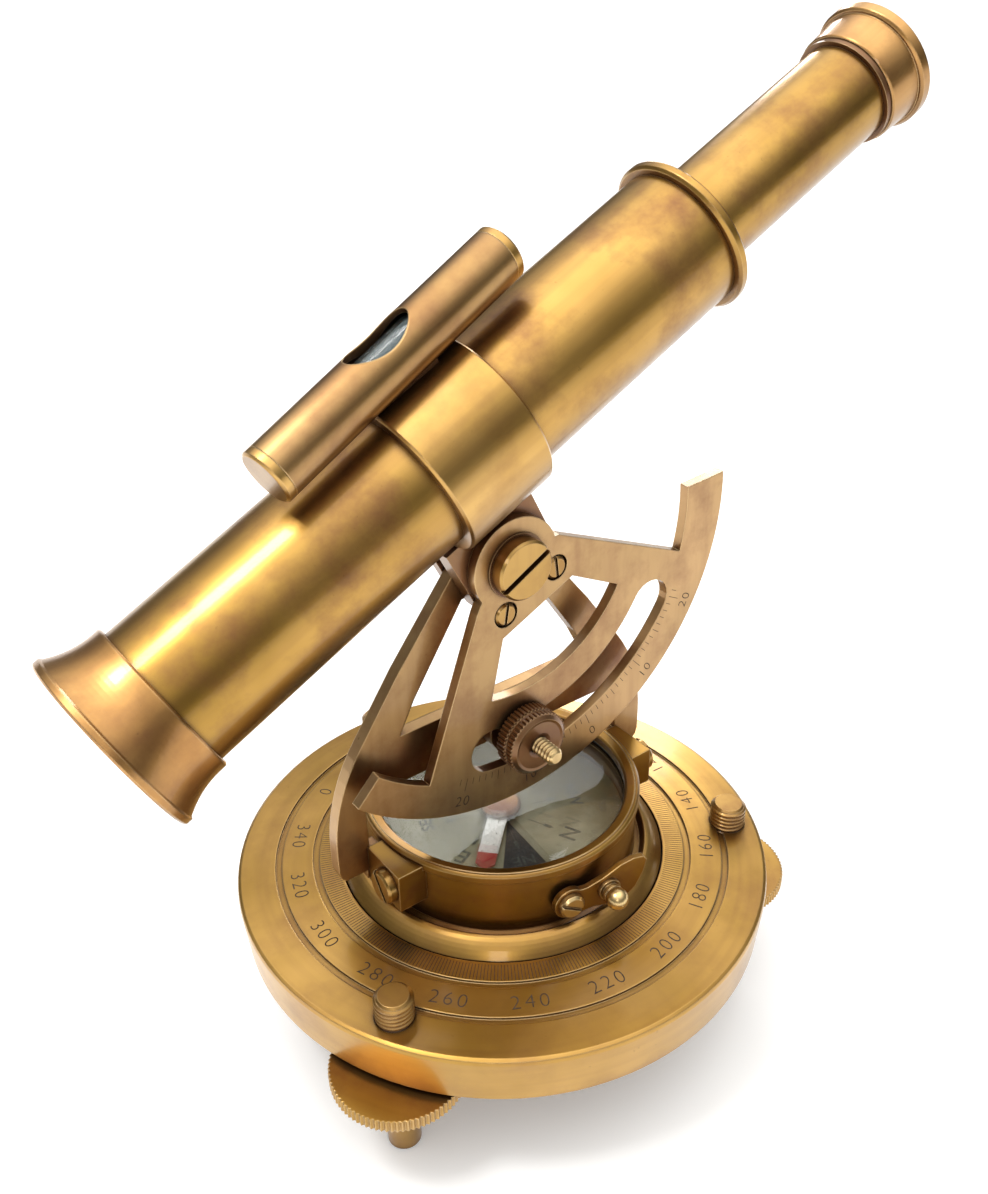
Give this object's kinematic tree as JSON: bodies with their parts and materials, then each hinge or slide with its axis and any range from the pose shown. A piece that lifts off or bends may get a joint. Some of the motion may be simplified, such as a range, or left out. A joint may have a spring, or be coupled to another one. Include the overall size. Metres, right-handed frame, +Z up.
{
  "type": "theodolite",
  "caption": "Small brass surveying instrument: tilting telescope with spirit level and graduated sector on an A-frame over a compass drum, turning on a three-screw levelling base.",
  "frame": {"origin": "on the ground under the middle of the base, in the plane of the three feet's tips", "axes": "+Z up, along the axis that the compass and telescope turn on; +X towards the eyepiece as stored; -Y towards the graduated sector"},
  "size_m": [0.1639, 0.1075, 0.1734],
  "materials": {
    "patina_brass": "antique patina, brushed, semi-gloss",
    "bright_brass": "worn bright, semi-gloss",
    "dark_brass": "dark patina, satin",
    "steel": "brushed",
    "glass": "clear, polished",
    "level_fluid": "clear tinted liquid",
    "gasket": "matt",
    "dial_card": "silvered, matt"
  },
  "bodies": {
    "base": {"base_plate": "patina_brass", "spindle_bush": "bright_brass"},
    "level_screw_1": {"level_screw_1": "patina_brass", "level_wheel_1": "patina_brass"},
    "level_screw_2": {"level_screw_2": "patina_brass", "level_wheel_2": "patina_brass"},
    "level_screw_3": {"level_screw_3": "patina_brass", "level_wheel_3": "patina_brass"},
    "alidade": {"turntable": "patina_brass", "compass_drum": "patina_brass", "spindle": "bright_brass", "spindle_washer": "steel", "spindle_nut": "steel", "compass_dial": "dial_card", "needle_post": "steel", "compass_glass": "glass", "glass_gasket": "gasket", "bezel_ring": "patina_brass", "lifter_bracket": "dark_brass", "frame_lugs": "patina_brass", "lug_screws": "patina_brass", "a_frame": "patina_brass", "frame_screws": "patina_brass", "clamp_stud": "bright_brass", "clamp_washer": "dark_brass", "stud_nut": "patina_brass"},
    "needle": {"compass_needle": "steel", "needle_cap": "bright_brass"},
    "lifter": {"needle_lifter": "bright_brass"},
    "lock_lever": {"lock_lever": "patina_brass", "lock_shaft": "bright_brass", "lock_knob": "bright_brass"},
    "clamp_nut": {"clamp_nut": "dark_brass"},
    "telescope": {"clevis": "dark_brass", "pivot_screw": "patina_brass", "pivot_washer": "dark_brass", "pivot_nut": "patina_brass", "sector_plate": "patina_brass", "sector_screws": "bright_brass", "collar": "patina_brass", "main_tube": "patina_brass", "objective_bell": "patina_brass", "objective_lens": "glass", "lens_rings": "dark_brass", "tube_end_ring": "patina_brass", "draw_bush": "bright_brass", "level_saddle": "dark_brass", "level_tube": "patina_brass", "level_caps": "bright_brass", "level_vial": "glass", "level_fluid": "level_fluid"},
    "draw": {"draw_tube": "patina_brass", "draw_stop": "dark_brass", "eyepiece_ring": "dark_brass", "eyepiece_cup": "patina_brass", "eye_lens": "glass"}
  },
  "joints": [
    {"name": "alidade_turn", "type": "hinge", "parent": "base", "child": "alidade", "pos_m": [0, 0, 0.031], "axis": [0, 0, 1], "continuous": true},
    {"name": "telescope_tilt", "type": "hinge", "parent": "alidade", "child": "telescope", "pos_m": [0, 0, 0.0952], "axis": [0, -1, 0], "range_deg": [-60, 7]},
    {"name": "draw_tube_slide", "type": "slide", "parent": "telescope", "child": "draw", "axis": [0.8934, 0, 0.4493], "range_m": [-0.036, 0.006]},
    {"name": "clamp_nut_turn", "type": "hinge", "parent": "alidade", "child": "clamp_nut", "pos_m": [0.0008, -0.0084, 0.061], "axis": [0, -1, 0], "range_deg": [0, 720]},
    {"name": "needle_swing", "type": "hinge", "parent": "alidade", "child": "needle", "pos_m": [0, 0, 0.0402], "axis": [0, 0, 1], "continuous": true},
    {"name": "lock_lever_turn", "type": "hinge", "parent": "alidade", "child": "lock_lever", "pos_m": [-0.00513, -0.02641, 0.0394], "axis": [-0.1908, -0.9816, 0], "range_deg": [0, 25]},
    {"name": "lifter_rock", "type": "hinge", "parent": "alidade", "child": "lifter", "pos_m": [-0.0021, -0.0108, 0.037], "axis": [0.9816, -0.1908, 0], "range_deg": [0, 3]},
    {"name": "level_screw_1_turn", "type": "hinge", "parent": "base", "child": "level_screw_1", "pos_m": [0, 0.0449, 0.02], "axis": [0, 0, 1], "range_deg": [-720, 720]},
    {"name": "level_screw_2_turn", "type": "hinge", "parent": "base", "child": "level_screw_2", "pos_m": [-0.03889, -0.02245, 0.02], "axis": [0, 0, 1], "range_deg": [-720, 720]},
    {"name": "level_screw_3_turn", "type": "hinge", "parent": "base", "child": "level_screw_3", "pos_m": [0.03889, -0.02245, 0.02], "axis": [0, 0, 1], "range_deg": [-720, 720]}
  ],
  "couplings": [
    {"joint": "lifter_rock", "follows": "lock_lever_turn", "ratio": 0.1105}
  ]
}
